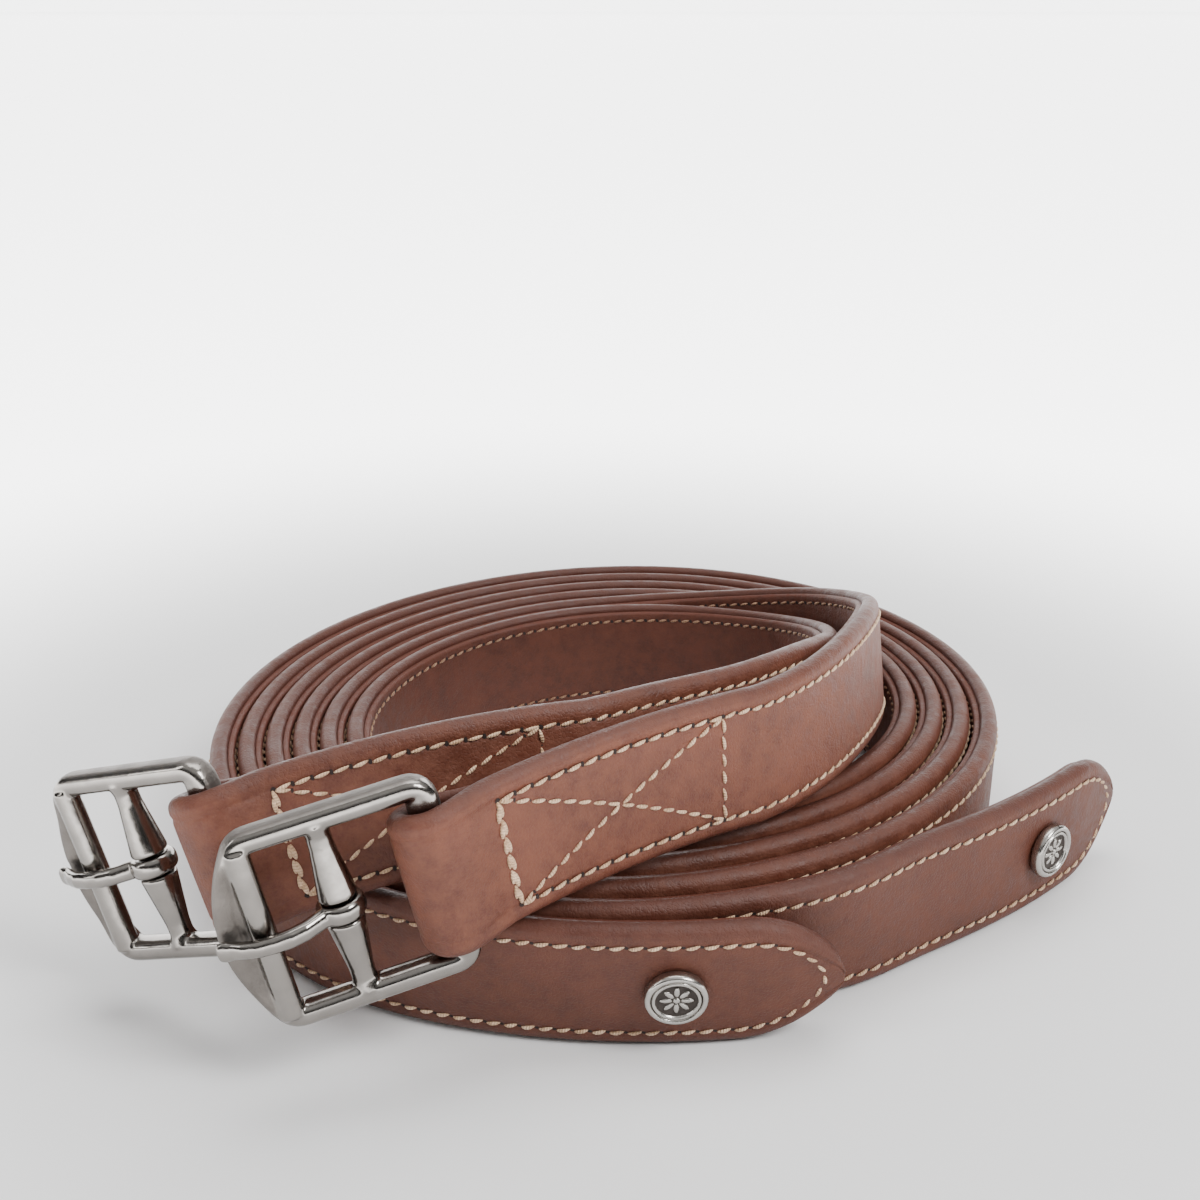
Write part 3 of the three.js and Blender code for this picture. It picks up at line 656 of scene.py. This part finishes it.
class Threads:
    """Gathers stitches and their awl holes into two meshes."""

    def __init__(self):
        self.vertices, self.faces, self.uvs, self.in_shade = [], [], [], []
        self.hole_vertices, self.hole_faces = [], []
        self.count = 0
        self.hole_count = 0

    def stitch(self, centre, along, across, out, length, radius, rise, in_shade):
        """A spindle of thread that dives into the leather at both ends."""
        stations = ((-1.0, 0.2), (-0.82, 0.55), (-0.45, 0.92), (0.0, 1.05),
                    (0.45, 0.92), (0.82, 0.55), (1.0, 0.2))
        sides = 7
        for q, thick in stations:
            middle = centre + along * (q * length / 2) + out * (rise * (1 - 1.25 * abs(q) ** 2.6))
            for k in range(sides):
                angle = 2 * math.pi * k / sides
                spread = across * math.cos(angle) + out * math.sin(angle) * 0.85
                self.vertices.append(middle + spread * radius * thick)
                self.uvs.append((q * length / 4, k / sides))
        rings = len(stations)
        for i in range(rings - 1):
            for k in range(sides):
                j = (k + 1) % sides
                a, b = self.count + i * sides, self.count + (i + 1) * sides
                self.faces.append((a + k, a + j, b + j, b + k))
        self.faces.append(tuple(self.count + k for k in reversed(range(sides))))
        self.faces.append(tuple(self.count + (rings - 1) * sides + k for k in range(sides)))
        self.count += rings * sides
        self.in_shade += [in_shade] * ((rings - 1) * sides + 2)

    def hole(self, centre, along, across, out):
        """An awl slit as a flat near-black disc of painted shade, lying just on the leather."""
        sides = 8
        for k in range(sides):
            angle = 2 * math.pi * k / sides
            edge = along * math.cos(angle) * AWL_SLIT[0] + across * math.sin(angle) * AWL_SLIT[1]
            self.hole_vertices.append(centre + edge + out * 0.02)
        self.hole_vertices.append(centre + out * 0.06)
        top = self.hole_count + sides
        for k in range(sides):
            self.hole_faces.append((self.hole_count + k, self.hole_count + (k + 1) % sides, top))
        self.hole_count += sides + 1

    def row(self, places, chooser, surface, slant=SLANT, **thread):
        """Stitches along a list of places; surface(place) gives a point and its outward axis."""
        points = [surface(p) for p in places]
        for (p, out), (q, out_q) in zip(points, points[1:]):
            up = unit(out + out_q)
            gap = q - p
            ahead = unit(gap - up * gap.dot(up))
            across = np.cross(up, ahead)
            turn = slant + chooser.uniform(-0.05, 0.05)
            along = ahead * math.cos(turn) + across * math.sin(turn)
            side = np.cross(up, along)
            span = np.linalg.norm(gap)
            length = thread.get("length", STITCH_LENGTH) * span / PITCH * chooser.uniform(0.96, 1.03)
            radius = thread.get("radius", THREAD_RADIUS) * chooser.uniform(0.94, 1.06)
            self.stitch((p + q) / 2, along, side, up, length, radius, thread.get("rise", 0.26),
                        thread.get("in_shade", 0))
            self.hole(p, along, side, up)
        p, out = points[-1]
        self.hole(p, along, side, out)

    def build(self, ident):
        rows = mesh_object(f"stitching_{ident}", placed(self.vertices), self.faces,
                           [THREAD, SHADED_THREAD], self.uvs)
        # Faces of the lining-side rows take the darker thread, which is painted shade.
        rows.data.polygons.foreach_set("material_index", self.in_shade)
        holes = mesh_object(f"stitch_holes_{ident}", placed(self.hole_vertices), self.hole_faces,
                            [HOLE_SHADE])
        for piece in (rows, holes):
            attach(piece, "straps")
        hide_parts(f"fold_stitching_{ident}")


def edge_rows(strap):
    """Places (s, across) round the stitched edge, one pitch apart, from box to tip and back."""
    s = np.arange(0.3, TIP_LENGTH + 4, 0.1)
    h = half_width(s)
    slope = np.gradient(h, s)
    scale = np.sqrt(1 + slope ** 2)
    inner = np.stack([s + STITCH_INSET * slope / scale, h - STITCH_INSET / scale], 1)
    inner = inner[inner[:, 1] > 0.05]
    end = strap.flat_start + FLAT_LENGTH - BOX_START - BOX_LENGTH
    straight = np.arange(inner[-1, 0] + 0.5, end, 0.5)
    edge = np.stack([straight, np.full(len(straight), MID - STITCH_INSET)], 1)
    side = np.vstack([inner, edge, [[end, BOX_HALF]]])
    both = np.vstack([side[::-1] * [1, 1], side * [1, -1]])
    steps = np.concatenate([[0], np.cumsum(np.linalg.norm(np.diff(both, axis=0), axis=1))])
    count = round(steps[-1] / PITCH)
    marks = np.linspace(0, steps[-1], count + 1)
    return np.stack([np.interp(marks, steps, both[:, 0]), np.interp(marks, steps, both[:, 1])], 1)


def segment(start, end):
    """Places one pitch apart along a straight line."""
    count = max(2, round(math.dist(start, end) / PITCH))
    return [tuple(np.array(start) + (np.array(end) - start) * k / count) for k in range(count + 1)]


def add_stitching(ident, strap):
    chooser = random.Random(f"stitches {ident}")
    threads = Threads()
    places = edge_rows(strap)
    for depth, sign in ((GROOVE, -1), (THICKNESS - 0.1, 1)):
        if sign > 0:
            places = places[places[:, 0] < strap.flat_start - 1]
        spots = strap.point(places[:, 0], places[:, 1], np.full(len(places), depth))
        outs = sign * strap.axes(places[:, 0])[3]
        look = {} if sign < 0 else INNER_ROW
        runs = [range(len(places))] if sign < 0 else split_runs(places)
        for run in runs:
            threads.row(list(run), chooser, lambda i: (spots[i], outs[i]), **look)

    def on_flat(depth, sign):
        def surface(place):
            c, _, w, m = (x[0] for x in strap.flat_axes(np.array([place[0]])))
            bulge = sign * FOLD_BULGE * float(swell(place[0]))
            return c + w * place[1] + m * (depth + bulge - THICKNESS / 2), sign * m
        return surface

    u0, u1, v = -BOX_START - BOX_LENGTH, -BOX_START, BOX_HALF
    lines = [((u0, v), (u1, v)), ((u0, -v), (u1, -v)), ((u0, v), (u0, -v)),
             ((u0, -v), (u1, v)), ((u0, v), (u1, -v))]
    back = FACE_DEPTH + GAP + RETURN_SKIVE * FACE_DEPTH
    for depth, sign in ((0.06, -1), (back, 1)):
        for start, end in lines:
            threads.row(segment(start, end), chooser, on_flat(depth, sign), slant=SLANT * 0.7)
        # The end next to the bar is sewn twice, with heavier thread.
        threads.row(segment((u1, v), (u1, -v)), chooser, on_flat(depth, sign),
                    slant=0.12, radius=0.46, length=2.8)
        threads.row(segment((u1 + 0.5, v - 1.2), (u1 + 0.5, -v + 1.2)), chooser, on_flat(depth, sign),
                    slant=-0.1, radius=0.4, length=2.7)
    threads.build(ident)


def split_runs(places):
    """Index runs on either side of the strap's middle, without the jump across its far end."""
    jumps = np.where(np.linalg.norm(np.diff(places, axis=0), axis=1) > 2 * PITCH)[0]
    edges = [0, *(jumps + 1), len(places)]
    return [range(a, b) for a, b in zip(edges, edges[1:]) if b - a > 2]


# ------------------------------------------------------------------ studs
STUD_SEGMENTS = 64
PETALS = 8
BEAD_RINGS = 6
BEAD_SEGMENTS = 10


def lathe(profile, segments):
    """Rings of a turned solid about z, from rows of (radius, height), both in millimetres."""
    vertices, faces, bands = [], [], []
    for r, z in profile:
        for k in range(segments):
            angle = 2 * math.pi * k / segments
            vertices.append((r * math.cos(angle), r * math.sin(angle), z))
    for i in range(len(profile) - 1):
        for k in range(segments):
            j = (k + 1) % segments
            a, b = i * segments, (i + 1) * segments
            faces.append((a + k, a + j, b + j, b + k))
            bands.append(i)
    last = (len(profile) - 1) * segments
    faces.append(tuple(reversed(range(segments))))
    bands.append(0)
    faces.append(tuple(last + k for k in range(segments)))
    bands.append(len(profile) - 2)
    return vertices, faces, bands


def ellipsoid(centre, axes):
    """A small rounded bead: axes are three vectors."""
    rings, segments = BEAD_RINGS, BEAD_SEGMENTS
    vertices, faces = [], []
    for i in range(rings + 1):
        lat = math.pi * i / rings
        for k in range(segments):
            lon = 2 * math.pi * k / segments
            offset = (axes[0] * math.sin(lat) * math.cos(lon) + axes[1] * math.sin(lat) * math.sin(lon)
                      + axes[2] * math.cos(lat))
            vertices.append(tuple(centre + offset))
    for i in range(rings):
        for k in range(segments):
            j = (k + 1) % segments
            a, b = i * segments, (i + 1) * segments
            faces.append((a + k, b + k, b + j, a + j))
    return vertices, faces


def add_stud(ident, strap):
    base = THICKNESS / 2 + GAP
    r = STUD_RADIUS
    profile = [(r - 0.5, 0), (r - 0.12, 0.12), (r, 0.55), (r, 1.35), (r - 0.1, 1.75), (r - 0.35, 2.05),
               (r - 0.7, 2.12), (r - 0.98, 2.0), (r - 1.05, 1.72), (r - 1.12, 1.62), (r - 1.2, 1.72),
               (r - 1.26, 1.95), (r - 1.4, 2.04), (r - 1.66, 2.04), (r - 1.78, 1.95), (r - 1.84, 1.7),
               (r - 1.92, 1.58), (0.9, 1.66), (0.05, 1.68)]
    # The groove's bands and the low middle take the near-black steel, as painted shade.
    recess_from, recess_to = 8, 9
    vertices, faces, bands = lathe(profile, STUD_SEGMENTS)
    index = [1 if band in (recess_from, recess_to) or band >= 15 else 0 for band in bands]
    parts = []
    for k in range(PETALS):
        angle = 2 * math.pi * k / PETALS
        radial = np.array([math.cos(angle), math.sin(angle), 0])
        tangent = np.array([-math.sin(angle), math.cos(angle), 0])
        up = np.array([0, 0, 1.0])
        parts.append(ellipsoid(radial * 1.75 + up * 1.62, (radial * 1.15, tangent * 0.5, up * 0.28)))
    parts.append(ellipsoid(np.array([0, 0, 1.66]), np.diag([0.62, 0.62, 0.36])))
    for more, more_faces in parts:
        start = len(vertices)
        vertices += more
        faces += [tuple(start + i for i in f) for f in more_faces]
        index += [0] * len(more_faces)
    vertices = np.array(vertices) + [0, 0, base]
    c, t, w, m = (x[0] for x in strap.axes(np.array([STUD_FROM_TIP])))
    basis = np.stack([t, -w, -m], 0)
    stud = mesh_object(f"stud_{ident}", placed(c + vertices @ basis), faces, [STUD_STEEL, STUD_RECESS_SHADE])
    stud.data.polygons.foreach_set("material_index", index)
    fix_normals(stud)
    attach(stud, "straps")
    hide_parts(f"stud_cap_{ident}")
    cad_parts[f"stud_rivet_{ident}"].data.materials.clear()
    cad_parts[f"stud_rivet_{ident}"].data.materials.append(STUD_STEEL)


# ------------------------------------------------------------------ buckles
FRAME_HALF = 17.5
RAIL = 3.8
FRAME_THICK = 4.6
FRAME_REAR = -3.0
SHOULDER = 30.5
CROWN = 34.5
CENTRE_BAR = 15.8
NECK = 1.5
NECK_HALF = 1.9
CONE = 3.1
INSET_BAR = 27.8
INSET_RADIUS = 2.0
INSET_LIFT = 0.9
RIM_DROP = 1.25
WEB_HALF = 11.6
FRAME_CORNER = 2.6
RAIL_END = 28.2
RIM_START = 28.6
RIM_FULL = 31.4
BOW_ANGLE = 31
VOXEL = 0.22
ARC_STEPS = 6


def super_ring(centre, half_in, half_out, power, sides=16):
    """Points of a superellipse about centre, from its two half-axis vectors."""
    rows = []
    for k in range(sides):
        angle = 2 * math.pi * k / sides
        c, s = math.cos(angle), math.sin(angle)
        rows.append(centre + half_in * math.copysign(abs(c) ** (2 / power), c)
                    + half_out * math.copysign(abs(s) ** (2 / power), s))
    return rows


def tube(rings, closed=False):
    vertices = [p for ring in rings for p in ring]
    count = len(rings[0])
    faces = []
    for i in range(len(rings) - (0 if closed else 1)):
        a, b = i * count, ((i + 1) % len(rings)) * count
        for k in range(count):
            j = (k + 1) % count
            faces.append((a + k, a + j, b + j, b + k))
    if not closed:
        faces.append(tuple(reversed(range(count))))
        faces.append(tuple((len(rings) - 1) * count + k for k in range(count)))
    return vertices, faces


def arc(cx, cy, radius, start, end):
    return [(cx + radius * math.cos(math.radians(a)), cy + radius * math.sin(math.radians(a)))
            for a in np.linspace(start, end, ARC_STEPS)]


def frame_ring():
    """The outer ring: straight rails, round corners and a bowed front rim, as one closed sweep."""
    side, rear = FRAME_HALF - RAIL / 2, FRAME_REAR + RAIL / 2
    corner = FRAME_CORNER
    half = [(rear, y) for y in np.linspace(0, side - corner, 8)]
    half += arc(rear + corner, side - corner, corner, 180, 90)[1:]
    half += [(x, side) for x in np.linspace(rear + corner, RAIL_END - corner, 14)][1:]
    half += arc(RIM_START - corner, side - corner - 0.1, corner + 0.1, 90, BOW_ANGLE)[1:]
    start_x, start_y = half[-1]
    for y in np.linspace(start_y, 0, 12)[1:]:
        half.append((CROWN - 1.8 - (CROWN - 1.8 - start_x) * (y / start_y) ** 2.0, y))
    loop = half + [(x, -y) for x, y in reversed(half[1:-1])]
    loop = np.array(loop)
    rings = []
    count = len(loop)
    for i in range(count):
        travel = loop[(i + 1) % count] - loop[i - 1]
        travel = travel / np.linalg.norm(travel)
        normal = np.array([travel[1], -travel[0], 0])
        # The front rim is a low crescent; the rails and corners keep the full thickness.
        on_rim = float(smoothstep(loop[i][0], RIM_START, RIM_FULL))
        top, bottom = FRAME_THICK / 2 - RIM_DROP * on_rim, -FRAME_THICK / 2
        middle = np.array([*loop[i], (top + bottom) / 2])
        rings.append(super_ring(middle, normal * RAIL / 2, np.array([0, 0, (top - bottom) / 2]), 2.7))
    return tube(rings, closed=True)


def satin_mask(co):
    """1 on the frame's outer perimeter and its crescent, 0 on its polished faces and bars."""
    reach = FRAME_HALF - RAIL
    rim = CROWN - (CROWN - SHOULDER) * (co[:, 1] / reach) ** 2
    side = FRAME_HALF - np.abs(co[:, 1])
    near = np.minimum(side, np.minimum(co[:, 0] - FRAME_REAR, rim - co[:, 0]))
    perimeter = 1 - smoothstep(near + 0.55 * co[:, 2], 0.7, 1.7)
    crescent = smoothstep(co[:, 0], 29.5, 30.1) * (1 - smoothstep(np.abs(co[:, 1]), reach - 1.5, reach + 1.0))
    return np.maximum(perimeter, crescent)


def turned_bar(x, z, rows):
    """A bar along y from rows of (y, radius)."""
    return tube([super_ring(np.array([x, y, z]), np.array([r, 0, 0]), np.array([0, 0, r]), 2.0, 24)
                 for y, r in rows])


def slab(x0, x1, half, z0, z1):
    corners = [(x, y) for x, y in ((x0, -half), (x1, -half), (x1, half), (x0, half))]
    vertices = [np.array([x, y, z]) for z in (z0, z1) for x, y in corners]
    faces = [(3, 2, 1, 0), (4, 5, 6, 7)] + [(k, (k + 1) % 4, (k + 1) % 4 + 4, k + 4) for k in range(4)]
    return vertices, faces


def cast(name, parts, smoothing, place, after=None):
    """Joins closed parts, melts their joints into fillets, and puts the result in place."""
    vertices, faces = [], []
    for more, more_faces in parts:
        start = len(vertices)
        vertices += [tuple(v) for v in more]
        faces += [tuple(start + i for i in f) for f in more_faces]
    thing = mesh_object(name, vertices, faces, [BUCKLE_STEEL])
    fix_normals(thing)
    melt = thing.modifiers.new("melt", "REMESH")
    melt.mode = "VOXEL"
    melt.voxel_size = 1 * VOXEL * MM
    melt.use_smooth_shade = True
    smooth = thing.modifiers.new("smooth", "SMOOTH")
    smooth.factor = 0.5
    smooth.iterations = smoothing // 1
    bake_modifiers(thing)
    if not thing.data.materials:
        thing.data.materials.append(BUCKLE_STEEL)
    co = np.zeros(len(thing.data.vertices) * 3)
    thing.data.vertices.foreach_get("co", co)
    co = co.reshape(-1, 3) / MM
    satin = satin_mask(co) if after else np.zeros(len(co))
    layer = thing.data.attributes.new("satin", "FLOAT", "POINT")
    layer.data.foreach_set("value", satin.astype(np.float32))
    if after:
        co = after(co)
    centre, basis = place
    co = placed(centre + co @ basis) * MM
    thing.data.vertices.foreach_set("co", co.ravel())
    thing.data.polygons.foreach_set("use_smooth", [True] * len(thing.data.polygons))
    thing.data.update()
    fix_normals(thing)
    return thing


def buckle_place(strap):
    """Origin and axes of a buckle frame: x to its front rim, y along its bars, z out."""
    depth = FOLD_RADIUS - FOLD_BULGE - THICKNESS / 2
    centre = strap.bar + strap.m * depth
    turn = strap.frame_turn
    x = strap.t * math.cos(turn) - strap.m * math.sin(turn)
    z = -strap.m * math.cos(turn) - strap.t * math.sin(turn)
    return centre, np.stack([x, -strap.w, z], 0)


def frame_parts():
    reach = FRAME_HALF - RAIL + 1.2
    rear = turned_bar(0, 0, [(-reach, BAR_RADIUS), (reach, BAR_RADIUS)])
    inset = turned_bar(INSET_BAR, INSET_LIFT, [(-reach, INSET_RADIUS), (reach, INSET_RADIUS)])
    lip = 0.35
    rows = [(-reach, 2.5), (-reach + 2, 1.95), (-reach + 4, 2.0), (-NECK_HALF - lip, CONE),
            (-NECK_HALF, CONE - 0.25), (-NECK_HALF + 0.01, NECK), (NECK_HALF - 0.01, NECK),
            (NECK_HALF, CONE - 0.25), (NECK_HALF + lip, CONE), (reach - 4, 2.0), (reach - 2, 1.95),
            (reach, 2.5)]
    centre = turned_bar(CENTRE_BAR, 0, rows)
    web = slab(INSET_BAR, SHOULDER + 0.3, WEB_HALF, -FRAME_THICK / 2 + 0.3, FRAME_THICK / 2 - RIM_DROP - 0.25)
    return [frame_ring(), rear, inset, centre, web]


def notch(co):
    """Lowers the front rim where the tongue's tip lies."""
    on_rim = smoothstep(co[:, 0], 30.4, 31.6) * np.clip(co[:, 2], 0, 1)
    co[:, 2] -= 0.4 * on_rim * np.exp(-(co[:, 1] / 1.9) ** 4)
    return co


def tongue_parts():
    eye_mid, eye_half = 2.85, 1.05
    rings = []
    for angle in np.linspace(0, 2 * math.pi, 40, endpoint=False):
        radial = np.array([math.cos(angle), 0, math.sin(angle)])
        rings.append(super_ring(np.array([CENTRE_BAR, 0, 0]) + radial * eye_mid, radial * eye_half,
                                np.array([0, 1.6, 0]), 2.5, 14))
    eye = tube(rings, closed=True)
    path = [(18.0, 1.5, 1.6, 1.25), (19.6, 2.5, 1.55, 1.2), (21.6, 3.7, 1.5, 1.2), (24.0, 4.4, 1.5, 1.2),
            (26.5, 4.55, 1.45, 1.15), (29.0, 4.3, 1.4, 1.1), (31.0, 3.5, 1.4, 1.05), (32.6, 2.55, 1.5, 0.95),
            (33.9, 2.1, 1.75, 0.9), (34.7, 2.0, 1.5, 0.75), (35.0, 2.0, 1.0, 0.45)]
    rings = []
    for i, (x, z, wide, thick) in enumerate(path):
        before, after = path[max(0, i - 1)], path[min(len(path) - 1, i + 1)]
        travel = unit(np.array([after[0] - before[0], 0, after[1] - before[1]]))
        up = np.array([-travel[2], 0, travel[0]])
        rings.append(super_ring(np.array([x, 0, z]), np.array([0, wide, 0]), up * thick, 2.4, 16))
    return [eye, tube(rings)]


def add_buckle(ident, strap):
    place = buckle_place(strap)
    body = cast(f"buckle_{ident}", frame_parts(), 9, place, notch)
    tongue = cast(f"tongue_{ident}", tongue_parts(), 5, place)
    for piece, rides, node_name in ((body, f"frame_{ident}", f"buckle_frame_{ident}"),
                                    (tongue, f"tongue_{ident}", f"buckle_tongue_{ident}")):
        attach(piece, rides)
        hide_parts(node_name)


# ------------------------------------------------------------------ studio
GLOW = 4.4
GLOW_FROM, GLOW_FULL = 0.12, 0.34         # metres from the middle of the object
FLOOR_REACH = 80.0
FLOOR_DROP = 0.0002
WALL_FADE = (20, FLOOR_REACH, 1.0, 0.65)
WORLD_LOW = (0.05, 0.048, 0.046)
WORLD_HIGH = (0.8, 0.8, 0.8)


def area_light(name, location, aim, size, power):
    data = bpy.data.lights.new(name, "AREA")
    data.shape = "RECTANGLE"
    data.size, data.size_y = size
    data.energy = power
    lamp = bpy.data.objects.new(name, data)
    bpy.context.scene.collection.objects.link(lamp)
    lamp.location = location
    lamp.rotation_euler = (Vector(aim) - Vector(location)).to_track_quat("-Z", "Y").to_euler()


def paper():
    """Pale paper that gives off light all round the object, but not under it."""
    material, tree, shader = new_material("floor_paper")
    shader.inputs["Base Color"].default_value = (0.85, 0.85, 0.85, 1.0)
    shader.inputs["Roughness"].default_value = 0.9
    shader.inputs["Emission Color"].default_value = (1, 1, 1, 1)
    away = node(tree, "ShaderNodeVectorMath", operation="LENGTH")
    tree.links.new(node(tree, "ShaderNodeTexCoord").outputs["Object"], away.inputs[0])
    glow = ramp(tree, away.outputs["Value"], GLOW_FROM, GLOW_FULL, 0.0, GLOW)
    # The wall is lit by the floor as well, so it glows less and its foot doesn't show.
    fade = ramp(tree, away.outputs["Value"], *WALL_FADE)
    tree.links.new(maths(tree, "MULTIPLY", glow, fade), shader.inputs["Emission Strength"])
    return material


def add_studio():
    mesh = bpy.data.meshes.new("floor")
    reach = FLOOR_REACH
    corners = [(-reach, -reach, 0), (reach, -reach, 0), (reach, reach, 0), (-reach, reach, 0)]
    corners += [(-reach, reach, reach / 2), (reach, reach, reach / 2)]
    mesh.from_pydata(corners, [], [(0, 1, 2, 3), (3, 2, 5, 4)])
    floor = bpy.data.objects.new("floor", mesh)
    bpy.context.scene.collection.objects.link(floor)
    floor.location.z = -FLOOR_DROP
    mesh.materials.append(paper())

    world = bpy.data.worlds.new("studio")
    bpy.context.scene.world = world
    world.use_nodes = True
    tree = world.node_tree
    background = tree.nodes["Background"]
    background.inputs["Strength"].default_value = 1.0
    split = node(tree, "ShaderNodeSeparateXYZ")
    tree.links.new(node(tree, "ShaderNodeTexCoord").outputs["Generated"], split.inputs[0])
    height = ramp(tree, split.outputs["Z"], 0.3, 0.75)
    tree.links.new(mix(tree, height, WORLD_LOW, WORLD_HIGH), background.inputs["Color"])
    area_light("overhead", (0.0, 0.15, 0.9), (0, 0, 0), (0.7, 0.5), 5)
    area_light("key_right", (0.6, -0.45, 0.75), (0, 0, 0.02), (0.3, 0.4), 10)
    area_light("strip_left", (-0.7, -0.25, 0.35), (-0.05, -0.05, 0.03), (0.08, 0.5), 1.2)


# ------------------------------------------------------------------ assembly
add_camera()
for ident, plan in LEATHERS.items():
    strap = Strap(plan)
    add_strap(ident, strap)
    add_stitching(ident, strap)
    add_stud(ident, strap)
    add_buckle(ident, strap)
add_studio()
